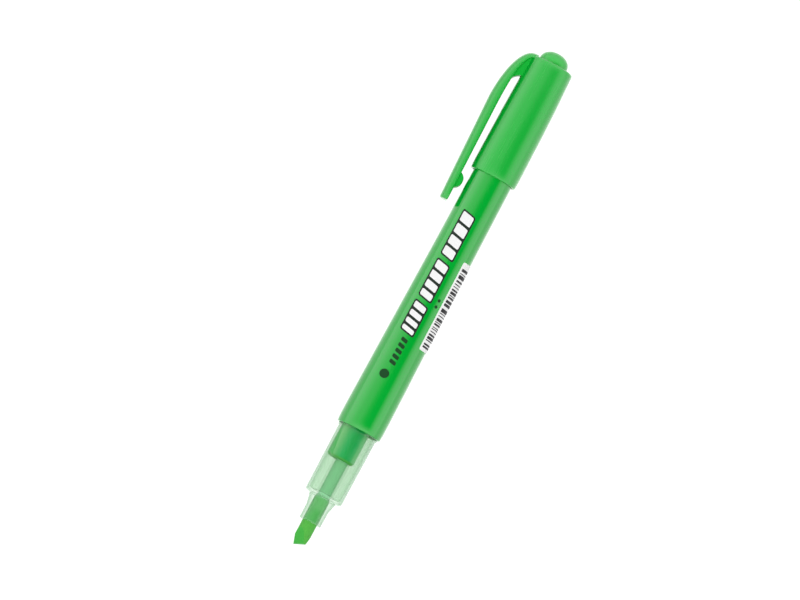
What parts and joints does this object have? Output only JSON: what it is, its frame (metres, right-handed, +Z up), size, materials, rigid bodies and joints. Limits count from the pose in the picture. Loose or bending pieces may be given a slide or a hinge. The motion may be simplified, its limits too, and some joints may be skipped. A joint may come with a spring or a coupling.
{
  "type": "highlighter pen",
  "caption": "Slim capped highlighter: chisel nib in a clear nose, tapered opaque barrel, and a clip cap pushed onto its tail. The cap pulls off and its clip flexes.",
  "frame": {"origin": "on the table, under the middle of the lying pen's box", "axes": "+X along the pen from nib to cap, +Y to the side the clip stands out on, +Z up from the table"},
  "size_m": [0.1383, 0.0166, 0.0124],
  "materials": {
    "green_plastic": "glossy moulded polypropylene, slightly translucent",
    "clear_plastic": "natural translucent moulded plastic",
    "nib_fibre": "ink-soaked bonded fibre",
    "reservoir_fibre": "ink-soaked fibre rod",
    "film": "thin clear film",
    "label_paper": "white coated paper with black bars"
  },
  "bodies": {
    "pen": {"barrel": "green_plastic", "tail_plug": "green_plastic", "front_section": "clear_plastic", "nib": "nib_fibre", "reservoir_core": "reservoir_fibre", "reservoir_wrap": "film", "barcode_label": "label_paper"},
    "cap": {"cap_shell": "green_plastic", "inner_cap": "green_plastic"},
    "clip": {"cap_clip": "green_plastic"}
  },
  "joints": [
    {"name": "cap_pull", "type": "slide", "parent": "pen", "child": "cap", "axis": [1, 0, 0], "range_m": [0, 0.03]},
    {"name": "clip_flex", "type": "hinge", "parent": "cap", "child": "clip", "pos_m": [0.05785, 0.00777, 0.0062], "axis": [0, 0, -1], "range_deg": [0, 5], "stiffness_Nm_per_rad": 0.02}
  ]
}
